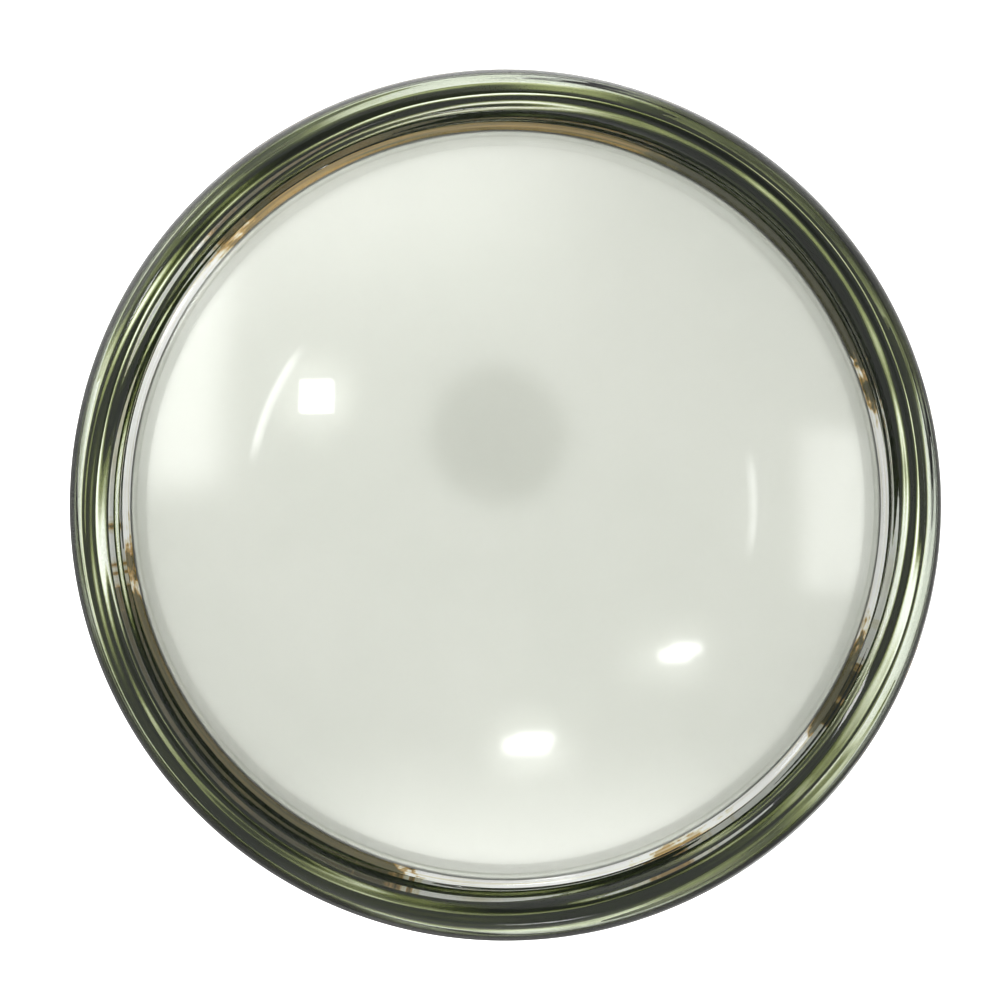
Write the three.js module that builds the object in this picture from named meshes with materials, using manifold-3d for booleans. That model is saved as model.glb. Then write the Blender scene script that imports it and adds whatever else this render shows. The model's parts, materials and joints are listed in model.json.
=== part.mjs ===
// A round convex traffic mirror on an adjustable wall bracket.
//
// Millimetres, +Z up. The mirror looks along -Y, and the origin is the centre of the wall plate's back face,
// so the wall is the plane y = 0. The wall plate carries a vertical pan bolt. The swivel knuckle turns on it,
// and carries a horizontal tilt bolt. The mirror head tilts on that one: a domed glass lens with a thick
// bead round its edge, a metallised dish behind it and a pressed back shell, held together by one band.
import * as THREE from "three";
import { mergeVertices } from "three/addons/utils/BufferGeometryUtils.js";
import Module from "manifold-3d";

const wasm = await Module();
wasm.setup();

// Driving dimensions.
const GAP = 0.3; // between pieces that touch
const MIRROR_RADIUS = 150;
const BEAD_WIDTH = 20.7;
const BEAD_DEPTH = 26;
const DOME_RADIUS = 219; // the glass dome's outer sphere
const DOME_FOOT = { radius: 128.8, height: 20.4 }; // where the dome meets the bead, above the rim plane
const GLASS = 5; // wall of the dome
const SHELL = 2; // wall of the back shell
const PAN_AXIS_Y = -34;
const TILT_AXIS_Y = -78;
const RIM_PLANE_Y = -154; // the plane at the back of the bead
const FORK_GAP = 28; // between the two lugs of a pivot
const PIVOT_BOLT = 5; // radius of an M10
const BRACKET_BOLT = 3; // radius of an M6
const BAND_BOLT = 2.5; // radius of an M5
const LUG = 5; // thickness of the wall plate's lugs
const EAR = 4; // thickness of the tilt bracket's ears
const LUG_END = 14; // radius of a lug's round end
const BOLT_PATTERN = { x: 32, z: 28 }; // half the spacing of the four bolts through the shell

const RINGS = 48; // sides of the large round pieces
const SIDES = 20; // sides of the small ones
const QUARTER = Math.PI / 2;

const REACH = PAN_AXIS_Y - TILT_AXIS_Y;
const RIM = TILT_AXIS_Y - RIM_PLANE_Y; // the rim plane, forward of the tilt axis
const DOME_CENTRE = DOME_FOOT.height - Math.sqrt(DOME_RADIUS ** 2 - DOME_FOOT.radius ** 2);

const finish = (color, roughness, metalness) =>
  new THREE.MeshStandardMaterial({ color, roughness, metalness });
const glass = finish(0xdfe8dd, 0.03, 0);
const silver = finish(0xdfe1dc, 0.3, 0.9);
const rubber = finish(0x161a15, 0.7, 0);
const foam = finish(0x4a4c48, 0.95, 0);
const greyPaint = finish(0xc4c8c2, 0.45, 0);
const galvanised = finish(0x9fa4a3, 0.5, 0.9);
const stainless = finish(0xb9bab6, 0.3, 1);
const nylon = finish(0xe4e1d4, 0.55, 0);
const blackPlastic = finish(0x222422, 0.5, 0);

// ---- Solids and meshes ----

function solidOf(geometry) {
  const bare = geometry.clone();
  bare.deleteAttribute("normal");
  bare.deleteAttribute("uv");
  const merged = mergeVertices(bare, 1e-4);
  const vertProperties = new Float32Array(merged.attributes.position.array);
  const triVerts = new Uint32Array(merged.index.array);
  return new wasm.Manifold(new wasm.Mesh({ numProp: 3, vertProperties, triVerts }));
}

function geometryOf(solid) {
  const mesh = solid.getMesh();
  const geometry = new THREE.BufferGeometry();
  geometry.setAttribute("position", new THREE.BufferAttribute(mesh.vertProperties, 3));
  geometry.setIndex(new THREE.BufferAttribute(mesh.triVerts, 1));
  geometry.computeVertexNormals();
  return geometry;
}

const joined = (first, ...rest) => rest.reduce((sum, g) => sum.add(solidOf(g)), solidOf(first));
const cut = (solid, ...tools) => tools.reduce((rest, tool) => rest.subtract(solidOf(tool)), solid);

function piece(name, material, geometry, place = [0, 0, 0], turn = [0, 0, 0]) {
  const mesh = new THREE.Mesh(geometry, material);
  mesh.name = name;
  mesh.position.set(...place);
  mesh.rotation.set(...turn);
  return mesh;
}

// ---- Basic shapes ----

// A profile of [radius, height] points turned about the Y axis. One that doesn't start on the axis is closed
// on itself.
function turned(profile, sides) {
  const area = profile.reduce((sum, [r, h], i) => {
    const [nextR, nextH] = profile[(i + 1) % profile.length];
    return sum + r * nextH - nextR * h;
  }, 0);
  const outward = area > 0 ? profile : [...profile].reverse();
  const points = outward.map(([r, h]) => new THREE.Vector2(r, h));
  if (points.every((p) => p.x > 0)) points.push(points[0].clone());
  return new THREE.LatheGeometry(points, sides);
}

const ring = (inner, outer, low, high, sides = SIDES) =>
  turned([[inner, low], [outer, low], [outer, high], [inner, high]], sides);

const rod = (radius, low, high, sides = SIDES) =>
  new THREE.CylinderGeometry(radius, radius, high - low, sides).translate(0, (low + high) / 2, 0);

const block = (x, y, z) =>
  new THREE.BoxGeometry(x[1] - x[0], y[1] - y[0], z[1] - z[0]).translate(
    (x[0] + x[1]) / 2, (y[0] + y[1]) / 2, (z[0] + z[1]) / 2);

const extruded = (shape, thickness, curveSegments = 6) =>
  new THREE.ExtrudeGeometry(shape, { depth: thickness, bevelEnabled: false, curveSegments });

// A plate drawn in x and z, from y = 0 back to -thickness.
const facePlate = (shape, thickness) => extruded(shape, thickness).rotateX(QUARTER);

// A plate drawn in y and z, centred on x = 0.
const sidePlate = (shape, thickness) =>
  extruded(shape, thickness, 8).rotateX(QUARTER).rotateZ(QUARTER).translate(-thickness / 2, 0, 0);

function roundedRectangle(width, height, corner) {
  const x = width / 2 - corner;
  const y = height / 2 - corner;
  const shape = new THREE.Shape();
  [[x, y], [-x, y], [-x, -y], [x, -y]].forEach(([cx, cy], i) =>
    shape.absarc(cx, cy, corner, i * QUARTER, (i + 1) * QUARTER));
  return shape;
}

function punch(shape, x, y, radius) {
  const hole = new THREE.Path();
  hole.absarc(x, y, radius, 0, 2 * Math.PI, true);
  shape.holes.push(hole);
}

// A rounded plate with a hole near each corner.
function fourHolePlate(size, holeX, holeZ, hole) {
  const outline = roundedRectangle(size.width, size.height, size.corner);
  for (const x of [-holeX, holeX]) for (const z of [-holeZ, holeZ]) punch(outline, x, z, hole);
  return facePlate(outline, size.thickness);
}

// A lug with a bore in its round end, which widens towards its root at x = reach.
function lugShape(rootHalfWidth, reach) {
  const shape = new THREE.Shape();
  shape.moveTo(reach, -rootHalfWidth);
  shape.lineTo(reach, rootHalfWidth);
  shape.absarc(0, 0, LUG_END, QUARTER, 3 * QUARTER);
  punch(shape, 0, 0, PIVOT_BOLT + GAP);
  return shape;
}

// ---- Fasteners. The axis is Y, the head or nut sits on y = 0, and the shank goes down ----

const hexagon = (acrossFlats, low, high) => rod(acrossFlats / Math.sqrt(3), low, high, 6);

const hexBolt = (radius, acrossFlats, head, length) =>
  geometryOf(joined(rod(radius, -length, 1, 16), hexagon(acrossFlats, 0, head)));

const hexNut = (radius, acrossFlats, height) =>
  geometryOf(cut(solidOf(hexagon(acrossFlats, -height, 0)), rod(radius + GAP, -height - 1, 1, 16)));

const PIVOT = { flats: 16, head: 6.4, nut: 9.4, washer: 2, washerRadius: 10.5, threadLeft: 2.5 };

// The bolt, two washers and locknut that clamp a fork, along Y and centred on it.
function pivotHardware(name, [first, second], lugThickness) {
  const seat = FORK_GAP / 2 + lugThickness + GAP;
  const under = seat + PIVOT.washer + GAP;
  const length = 2 * under + PIVOT.nut + PIVOT.threadLeft;
  const washer = ring(PIVOT_BOLT + GAP, PIVOT.washerRadius, 0, PIVOT.washer);
  return [
    piece(`${name}_bolt`, stainless, hexBolt(PIVOT_BOLT, PIVOT.flats, PIVOT.head, length), [0, under, 0]),
    piece(`${name}_washer_${first}`, stainless, washer, [0, seat, 0]),
    piece(`${name}_washer_${second}`, stainless, washer, [0, -seat - PIVOT.washer, 0]),
    piece(`${name}_nut`, stainless, hexNut(PIVOT_BOLT, PIVOT.flats, PIVOT.nut), [0, -under, 0]),
  ];
}

// ---- Wall mount: fixed to the wall ----

const WALL_PLATE = { width: 100, height: 120, thickness: 5, corner: 10 };
const WALL_HOLES = { x: 36, z: 46, radius: 4.5 };
const GUSSET = { reach: 16, rise: 21, thickness: 5 };
const PAN_LUG_ROOT = 22.4; // half the width of a lug where it meets the plate
const BITE = 1; // how deep one welded piece runs into the other

function wallPlate() {
  const plate = fourHolePlate(WALL_PLATE, WALL_HOLES.x, WALL_HOLES.z, WALL_HOLES.radius);
  const face = -WALL_PLATE.thickness;

  const lug = extruded(lugShape(PAN_LUG_ROOT, face - PAN_AXIS_Y + BITE), LUG, 8).rotateZ(QUARTER);
  const upper = lug.clone().translate(0, PAN_AXIS_Y, FORK_GAP / 2);
  const lower = lug.clone().translate(0, PAN_AXIS_Y, -FORK_GAP / 2 - LUG);

  const top = FORK_GAP / 2 + LUG;
  const web = new THREE.Shape();
  web.moveTo(face + BITE, top - BITE);
  web.lineTo(face + BITE, top + GUSSET.rise);
  web.lineTo(face - GUSSET.reach, top - BITE);
  const gusset = sidePlate(web, GUSSET.thickness);
  return geometryOf(joined(plate, upper, lower, gusset, gusset.clone().rotateY(Math.PI)));
}

function wallMount() {
  const group = new THREE.Group();
  group.add(piece("wall_plate", galvanised, wallPlate()));
  const pivot = new THREE.Group();
  pivot.position.y = PAN_AXIS_Y;
  pivot.rotation.x = QUARTER;
  pivot.add(...pivotHardware("pan", ["upper", "lower"], LUG));
  group.add(pivot);
  return group;
}

// ---- Swivel: a knuckle with one upright and one level barrel, and two flanged bushes in each ----

const BUSH = { wall: 1.2, flange: 1.5, flangeRadius: 11.5, length: 10 };
const HALF_BARREL = FORK_GAP / 2 - BUSH.flange - 2 * GAP;
const BARREL_RADIUS = { pan: 13, tilt: 12 };
const WEB = { thickness: 16, waist: 6, root: 10 };

function knuckle() {
  const upright = rod(BARREL_RADIUS.pan, -HALF_BARREL, HALF_BARREL, 24).rotateX(QUARTER);
  const level = rod(BARREL_RADIUS.tilt, -HALF_BARREL, HALF_BARREL, 24).rotateZ(QUARTER);
  level.translate(0, -REACH, 0);
  const side = new THREE.Shape();
  side.moveTo(-REACH, -WEB.root);
  side.quadraticCurveTo(-REACH / 2, -WEB.waist, 0, -WEB.root);
  side.lineTo(0, WEB.root);
  side.quadraticCurveTo(-REACH / 2, WEB.waist, -REACH, WEB.root);
  const bore = rod(PIVOT_BOLT + 2 * GAP + BUSH.wall, -FORK_GAP, FORK_GAP);
  const panBore = bore.clone().rotateX(QUARTER);
  const tiltBore = bore.clone().rotateZ(QUARTER).translate(0, -REACH, 0);
  return geometryOf(cut(joined(upright, level, sidePlate(side, WEB.thickness)), panBore, tiltBore));
}

// The bush's flange faces up, half a fork gap above the middle of the barrel.
function bush() {
  const inner = PIVOT_BOLT + GAP;
  const top = FORK_GAP / 2 - GAP;
  const under = top - BUSH.flange;
  const outer = inner + BUSH.wall;
  const sleeve = [[inner, under - BUSH.length], [outer, under - BUSH.length], [outer, under]];
  return turned([...sleeve, [BUSH.flangeRadius, under], [BUSH.flangeRadius, top], [inner, top]], SIDES);
}

function swivel() {
  const group = new THREE.Group();
  group.position.y = PAN_AXIS_Y;
  group.add(piece("swivel_knuckle", galvanised, knuckle()));
  group.add(piece("pan_bush_upper", nylon, bush(), [0, 0, 0], [QUARTER, 0, 0]));
  group.add(piece("pan_bush_lower", nylon, bush(), [0, 0, 0], [-QUARTER, 0, 0]));
  group.add(piece("tilt_bush_right", nylon, bush(), [0, -REACH, 0], [0, 0, -QUARTER]));
  group.add(piece("tilt_bush_left", nylon, bush(), [0, -REACH, 0], [0, 0, QUARTER]));
  return group;
}

// ---- The head's rim. Heights are measured forward from the rim plane ----

const NECK = { radius: 141, length: 4.5 };
const FLANGE = { radius: 144.5, thickness: 5, inner: 134.5 };
const GASKET = { outer: 147, frontLip: 2.5, backLip: 2 };
const BAND = { wall: 1.6, lip: 1.2, frontInner: 143.5, backInner: 142, split: 14 };

const flangeFront = -NECK.length;
const flangeBack = flangeFront - FLANGE.thickness;
const gasketFront = flangeFront + GAP + GASKET.frontLip;
const gasketBack = flangeBack - GAP - GASKET.backLip;
const shellFront = gasketBack - GAP;
const shellFlangeBack = shellFront - SHELL;
const bandFront = gasketFront + GAP + BAND.lip;
const bandBack = shellFlangeBack - GAP - BAND.lip;
const bandRadius = GASKET.outer + GAP + BAND.wall;

// An arc of a sphere round the dome's centre, from the axis out to a radius.
function domeArc(sphere, edge, steps = 6) {
  const end = Math.asin(edge / sphere);
  return Array.from({ length: steps + 1 }, (_, i) => {
    const angle = (end * i) / steps;
    return [sphere * Math.sin(angle), DOME_CENTRE + sphere * Math.cos(angle)];
  });
}

// The bead's oval section, from the dome's foot over the crest and round to the neck.
function beadArc(steps = 12) {
  const start = THREE.MathUtils.degToRad(148);
  const end = THREE.MathUtils.degToRad(-82);
  return Array.from({ length: steps + 1 }, (_, i) => {
    const angle = start + ((end - start) * i) / steps;
    const out = MIRROR_RADIUS - BEAD_WIDTH / 2 + (BEAD_WIDTH / 2) * Math.cos(angle);
    return [out, (BEAD_DEPTH / 2) * (1 + Math.sin(angle))];
  });
}

const CAVITY = { edge: 127.5, foot: -0.5 }; // the cavity behind the dome widens from this edge to the flange

function lens() {
  const outside = [...domeArc(DOME_RADIUS, DOME_FOOT.radius), ...beadArc()];
  const foot = [[NECK.radius, flangeFront], [FLANGE.radius, flangeFront], [FLANGE.radius, flangeBack]];
  const inside = [[FLANGE.inner, flangeBack], [FLANGE.inner, CAVITY.foot]];
  const cavity = domeArc(DOME_RADIUS - GLASS, CAVITY.edge).reverse();
  return turned([...outside, ...foot, ...inside, ...cavity], RINGS);
}

const DISH = { wall: 1, edge: 127, innerEdge: 126.2, back: -8 };

function reflectorDish() {
  const sphere = DOME_RADIUS - GLASS - GAP;
  const skirt = FLANGE.inner - GAP;
  const front = [...domeArc(sphere, DISH.edge), [skirt, CAVITY.foot - GAP], [skirt, DISH.back]];
  const inside = [[skirt - DISH.wall, DISH.back], [skirt - DISH.wall, CAVITY.foot - 2 * GAP]];
  return turned([...front, ...inside, ...domeArc(sphere - DISH.wall, DISH.innerEdge).reverse()], RINGS);
}

function lensGasket() {
  const groove = FLANGE.radius + GAP;
  const frontLip = [[NECK.radius + GAP, flangeFront + GAP], [NECK.radius + GAP, gasketFront]];
  const wall = [[GASKET.outer, gasketFront], [GASKET.outer, gasketBack]];
  const backLip = [[FLANGE.inner + GAP, gasketBack], [FLANGE.inner + GAP, flangeBack - GAP]];
  const bed = [[groove, flangeBack - GAP], [groove, flangeFront + GAP]];
  return turned([...frontLip, ...wall, ...backLip, ...bed], RINGS);
}

// The band is split at the top, where two ears folded back from it take the bolt that draws it tight.
const BAND_EAR = { thickness: 3, low: 137, high: 148.6, back: -31, boltHeight: 143, boltBack: -23 };
const BAND_BOLT_HEAD = { flats: 8, head: 3.5, nut: 4.5, threadLeft: 3.5 };

function clampBand() {
  const inner = bandRadius - BAND.wall;
  const frontLip = [[BAND.frontInner, bandFront - BAND.lip], [BAND.frontInner, bandFront]];
  const wall = [[bandRadius, bandFront], [bandRadius, bandBack]];
  const backLip = [[BAND.backInner, bandBack], [BAND.backInner, bandBack + BAND.lip]];
  const channel = [[inner, bandBack + BAND.lip], [inner, bandFront - BAND.lip]];
  const hoop = turned([...frontLip, ...wall, ...backLip, ...channel], RINGS);
  const half = BAND.split / 2;
  const slit = block([-half, half], [bandBack - 1, bandFront + 1], [BAND_EAR.low, bandRadius + 1]);
  const ear = block([half, half + BAND_EAR.thickness], [BAND_EAR.back, bandBack + BAND.lip],
    [BAND_EAR.low, BAND_EAR.high]);
  const other = ear.clone().translate(-BAND.split - BAND_EAR.thickness, 0, 0);
  const drill = rod(BAND_BOLT + GAP, -BAND.split, BAND.split, 16)
    .rotateZ(QUARTER)
    .translate(0, BAND_EAR.boltBack, BAND_EAR.boltHeight);
  return geometryOf(cut(cut(solidOf(hoop), slit).add(solidOf(ear)).add(solidOf(other)), drill));
}

// ---- Back shell, and what is fixed to it ----

const SHELL_WALL = [[133.5, shellFlangeBack], [129.5, -24], [122, -32], [110, -38], [66, -45]];
const SHELL_INSIDE = [[65.8, -43], [109.3, -36.1], [120.6, -30.4], [127.5, -23], [131.3, shellFlangeBack]];
const shellBack = SHELL_WALL.at(-1)[1];

const DRAIN = { radius: 131.5, height: -19.05, lean: THREE.MathUtils.degToRad(22) };
const DRAIN_RING = { bore: 1.4, sleeve: 2.6, lip: 4.2, lipThickness: 1.2, slack: 0.5 };
const VENT = { drop: -54, shank: 3.5, foot: 5, footThickness: 1.5, cap: 7, capHeight: 3.8, chamfer: 1.2 };

const drainPlace = [0, DRAIN.height, -DRAIN.radius];
const drainTurn = [-QUARTER - DRAIN.lean, 0, 0];

function backShell() {
  const inside = [[0, shellBack + SHELL], ...SHELL_INSIDE, [SHELL_INSIDE.at(-1)[0], shellFront]];
  const flange = [[GASKET.outer, shellFront], [GASKET.outer, shellFlangeBack]];
  const pan = turned([...inside, ...flange, ...SHELL_WALL, [0, shellBack]], RINGS);
  const bolt = rod(BRACKET_BOLT + GAP, shellBack - 1, shellBack + SHELL + 1, 16);
  const holes = [-1, 1].flatMap((x) =>
    [-1, 1].map((z) => bolt.clone().translate(x * BOLT_PATTERN.x, 0, z * BOLT_PATTERN.z)));
  const vent = rod(VENT.shank + GAP, shellBack - 1, shellBack + SHELL + 1, 16).translate(0, 0, VENT.drop);
  const drain = rod(DRAIN_RING.sleeve + GAP, -2 * SHELL, 2 * SHELL, 16)
    .rotateX(drainTurn[0])
    .translate(...drainPlace);
  return geometryOf(cut(solidOf(pan), ...holes, vent, drain));
}

// A rubber ring snapped into the shell's wall, with a lip outside and another inside.
function drainGrommet() {
  const { bore, sleeve, lip, lipThickness, slack } = DRAIN_RING;
  const inside = -SHELL - slack;
  const innerLip = [[bore, inside - lipThickness], [lip, inside - lipThickness], [lip, inside]];
  const outerLip = [[lip, slack], [lip, slack + lipThickness], [bore, slack + lipThickness]];
  return turned([...innerLip, [sleeve, inside], [sleeve, slack], ...outerLip], 16);
}

// A breather with a snap foot inside the shell and a cap outside it.
function ventPlug() {
  const { shank, foot, footThickness, cap, capHeight, chamfer } = VENT;
  const inside = -SHELL - GAP;
  const end = inside - footThickness;
  const snap = [[0, end], [foot, end], [foot, inside], [shank, inside], [shank, GAP]];
  const rim = [[cap, GAP], [cap, capHeight - chamfer], [cap - chamfer, capHeight], [0, capHeight]];
  return turned([...snap, ...rim], SIDES);
}

const BRACKET_BASE = { width: 84, height: 76, thickness: 4, corner: 8 };
const DOUBLER = { width: 80, height: 72, thickness: 3, corner: 10 };
const EAR_ROOT = 23.8; // half the width of an ear where it meets the base
const FLANGE_BOLT = { flats: 10, head: 6, flangeRadius: 6.5, flange: 1.4, nut: 5, threadLeft: 2 };

const baseFront = RIM + shellBack - GAP;
const baseBack = baseFront - BRACKET_BASE.thickness;
const doublerFront = RIM + shellBack + SHELL + GAP + DOUBLER.thickness;

function tiltBracket() {
  const hole = BRACKET_BOLT + GAP;
  const base = fourHolePlate(BRACKET_BASE, BOLT_PATTERN.x, BOLT_PATTERN.z, hole).translate(0, baseFront, 0);
  const ear = sidePlate(lugShape(EAR_ROOT, baseBack + BITE), EAR);
  const out = (FORK_GAP + EAR) / 2;
  return geometryOf(joined(base, ear.clone().translate(out, 0, 0), ear.clone().translate(-out, 0, 0)));
}

function flangeBolt() {
  const { flats, head, flangeRadius, flange, nut, threadLeft } = FLANGE_BOLT;
  const grip = doublerFront - baseBack + 2 * GAP;
  const shank = rod(BRACKET_BOLT, -grip - nut - threadLeft, 1, 16);
  return geometryOf(joined(shank, hexagon(flats, 0, head), rod(flangeRadius, 0, flange)));
}

function mirrorHead() {
  const head = new THREE.Group();
  head.position.y = TILT_AXIS_Y;
  head.rotation.z = Math.PI; // inside it +Y looks forward

  const rim = new THREE.Group();
  rim.position.y = RIM;
  rim.add(piece("glass_lens", glass, lens()));
  rim.add(piece("reflector_dish", silver, reflectorDish()));
  const cushion = ring(SHELL_INSIDE.at(-1)[0], FLANGE.inner - GAP, shellFront + GAP, DISH.back - GAP, RINGS);
  rim.add(piece("cushion_ring", foam, cushion));
  rim.add(piece("lens_gasket", rubber, lensGasket()));
  rim.add(piece("back_shell", greyPaint, backShell()));
  rim.add(piece("drain_grommet", rubber, drainGrommet(), drainPlace, drainTurn));
  rim.add(piece("vent_plug", blackPlastic, ventPlug(), [0, shellBack, VENT.drop], [Math.PI, 0, 0]));
  rim.add(piece("clamp_band", stainless, clampBand()));
  const earFace = BAND.split / 2 + BAND_EAR.thickness + GAP;
  const hole = [BAND_EAR.boltBack, BAND_EAR.boltHeight];
  const { flats, head: headHeight, nut: nutHeight, threadLeft } = BAND_BOLT_HEAD;
  const bandBolt = hexBolt(BAND_BOLT, flats, headHeight, 2 * earFace + nutHeight + threadLeft);
  const bandNut = hexNut(BAND_BOLT, flats, nutHeight);
  rim.add(piece("band_bolt", stainless, bandBolt, [earFace, ...hole], [0, 0, -QUARTER]));
  rim.add(piece("band_nut", stainless, bandNut, [-earFace, ...hole], [0, 0, -QUARTER]));
  head.add(rim);

  head.add(piece("tilt_bracket", galvanised, tiltBracket()));
  const doubler = fourHolePlate(DOUBLER, BOLT_PATTERN.x, BOLT_PATTERN.z, BRACKET_BOLT + GAP);
  head.add(piece("shell_doubler", galvanised, doubler, [0, doublerFront, 0]));
  const nut = hexNut(BRACKET_BOLT, FLANGE_BOLT.flats, FLANGE_BOLT.nut);
  [[1, 1], [-1, 1], [-1, -1], [1, -1]].forEach(([x, z], i) => {
    const [atX, atZ] = [x * BOLT_PATTERN.x, z * BOLT_PATTERN.z];
    const boltPlace = [atX, baseBack - GAP, atZ];
    const nutPlace = [atX, doublerFront + GAP, atZ];
    head.add(piece(`bracket_bolt_${i + 1}`, stainless, flangeBolt(), boltPlace, [Math.PI, 0, 0]));
    head.add(piece(`bracket_nut_${i + 1}`, stainless, nut, nutPlace, [Math.PI, 0, 0]));
  });

  const pivot = new THREE.Group();
  pivot.rotation.z = -QUARTER;
  pivot.add(...pivotHardware("tilt", ["left", "right"], EAR));
  head.add(pivot);
  return head;
}

const mirror = new THREE.Group();
mirror.add(wallMount(), swivel(), mirrorHead());

export default mirror;
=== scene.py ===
# A round convex traffic mirror on its wall bracket: the finished surfaces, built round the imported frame.
import json
import math

import bmesh
import bpy
from mathutils import Matrix, Vector


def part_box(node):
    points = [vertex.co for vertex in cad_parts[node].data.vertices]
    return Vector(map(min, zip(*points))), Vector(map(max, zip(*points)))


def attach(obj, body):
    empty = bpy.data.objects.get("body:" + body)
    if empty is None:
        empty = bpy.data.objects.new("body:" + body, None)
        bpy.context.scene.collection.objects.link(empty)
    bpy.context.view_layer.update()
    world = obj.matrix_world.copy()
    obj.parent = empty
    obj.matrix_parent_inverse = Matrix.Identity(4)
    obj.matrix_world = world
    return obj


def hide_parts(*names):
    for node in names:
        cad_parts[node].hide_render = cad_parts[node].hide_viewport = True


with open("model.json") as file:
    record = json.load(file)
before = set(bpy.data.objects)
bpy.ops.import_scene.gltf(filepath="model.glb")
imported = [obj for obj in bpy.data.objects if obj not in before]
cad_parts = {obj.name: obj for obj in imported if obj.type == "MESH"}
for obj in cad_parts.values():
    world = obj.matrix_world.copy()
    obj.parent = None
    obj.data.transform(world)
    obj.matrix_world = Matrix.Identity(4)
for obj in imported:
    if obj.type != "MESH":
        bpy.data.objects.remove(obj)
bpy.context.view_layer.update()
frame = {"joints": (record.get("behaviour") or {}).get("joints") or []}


# ---- Wall plate ----
# A 5 mm steel plate with four anchor holes. Two lugs for the pan bolt are welded square to it, each
# stiffened by a gusset, and the whole weldment is hot-dip galvanised: a dull grey skin with a crystal
# spangle.

def add(tree, kind, inputs=(), **settings):
    """A new node in a tree, with its settings, and its inputs set or linked."""
    node = tree.nodes.new(kind)
    for setting, value in settings.items():
        setattr(node, setting, value)
    for label, value in dict(inputs).items():
        if isinstance(value, bpy.types.NodeSocket):
            tree.links.new(value, node.inputs[label])
        else:
            node.inputs[label].default_value = value
    return node


def surface(name, **sockets):
    """A new material's tree and its Principled shader, with the given sockets set."""
    material = bpy.data.materials.new(name)
    material.use_nodes = True
    shader = material.node_tree.nodes["Principled BSDF"]
    for label, value in sockets.items():
        shader.inputs[label.replace("_", " ")].default_value = value
    return material, material.node_tree, shader


def pattern(tree, kind, scale, stretch=(1, 1, 1), **inputs):
    """A texture node on Object coordinates, scaled in cells or waves per metre."""
    coordinates = add(tree, "ShaderNodeTexCoord").outputs["Object"]
    mapping = add(tree, "ShaderNodeMapping", {"Vector": coordinates, "Scale": stretch})
    return add(tree, kind, {"Vector": mapping.outputs[0], "Scale": scale, **inputs})


def ramp(tree, value, *stops):
    """A colour ramp from a value, through (place, colour) stops, where a plain number means a grey."""
    node = add(tree, "ShaderNodeValToRGB", {"Fac": value})
    while len(node.color_ramp.elements) < len(stops):
        node.color_ramp.elements.new(1.0)
    for element, (place, shade) in zip(node.color_ramp.elements, stops):
        element.position = place
        element.color = (*shade, 1) if isinstance(shade, tuple) else (shade, shade, shade, 1)
    return node.outputs["Color"]


def blended(tree, factor, first, second, kind="MIX"):
    """Two colours mixed by a factor."""
    node = add(tree, "ShaderNodeMix", {0: factor, 6: first, 7: second}, data_type="RGBA", blend_type=kind)
    return node.outputs[2]


def relief(tree, shader, height, depth, strength=1.0):
    """Bump on a shader from a height pattern, depth in metres."""
    bump = add(tree, "ShaderNodeBump", {"Height": height, "Distance": depth, "Strength": strength})
    tree.links.new(bump.outputs["Normal"], shader.inputs["Normal"])


def circle(radius, sides, centre=(0, 0), start=0.0, turn=2 * math.pi):
    """Points round a circle, or along part of one."""
    count = sides if turn == 2 * math.pi else sides + 1
    angles = [start + turn * i / sides for i in range(count)]
    return [(centre[0] + radius * math.cos(a), centre[1] + radius * math.sin(a)) for a in angles]


def rounded_rectangle(width, height, corner, sides=8):
    """A rectangle's outline with round corners."""
    x, y = width / 2 - corner, height / 2 - corner
    centres = [(x, y), (-x, y), (-x, -y), (x, -y)]
    quarter = math.pi / 2
    return [p for i, c in enumerate(centres) for p in circle(corner, sides, c, i * quarter, quarter)]


def lug_outline(end, root, reach):
    """A lug with a round free end about the origin, widening to a root at Y = reach."""
    nose = circle(end, 24, start=math.pi, turn=math.pi)
    return [(end, 0), (root, reach), (-root, reach), (-end, 0)] + nose[1:-1]


def baked(mesh, *modifiers):
    """The mesh after a stack of modifiers, each given as (kind, settings)."""
    holder = bpy.data.objects.new("holder", mesh)
    bpy.context.scene.collection.objects.link(holder)
    for kind, settings in modifiers:
        modifier = holder.modifiers.new(kind.title(), kind)
        for setting, value in settings.items():
            setattr(modifier, setting, value)
    graph = bpy.context.evaluated_depsgraph_get()
    result = bpy.data.meshes.new_from_object(holder.evaluated_get(graph))
    bpy.data.objects.remove(holder)
    return result


def plate(outline, holes, thickness, matrix, ease=0.0004):
    """A flat plate cut to an outline with holes, its edges eased, put in place by a matrix."""
    sheet = bmesh.new()
    for loop in [outline, *holes]:
        corners = [sheet.verts.new((x, y, 0)) for x, y in loop]
        for corner, following in zip(corners, corners[1:] + corners[:1]):
            sheet.edges.new((corner, following))
    bmesh.ops.triangle_fill(sheet, use_beauty=True, use_dissolve=False, edges=sheet.edges, normal=(0, 0, 1))
    bmesh.ops.dissolve_limit(sheet, angle_limit=math.radians(1), verts=sheet.verts, edges=sheet.edges)
    bmesh.ops.recalc_face_normals(sheet, faces=sheet.faces)
    if sheet.faces[:][0].normal.z < 0:
        bmesh.ops.reverse_faces(sheet, faces=sheet.faces)
    mesh = bpy.data.meshes.new("plate")
    sheet.to_mesh(mesh)
    sheet.free()
    solidify = ("SOLIDIFY", {"thickness": thickness, "offset": 1.0})
    bevel = ("BEVEL", {
        "width": ease, "segments": 2, "limit_method": "ANGLE", "angle_limit": math.radians(35)})
    mesh = baked(mesh, solidify, bevel)
    mesh.transform(matrix)
    return mesh


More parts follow.
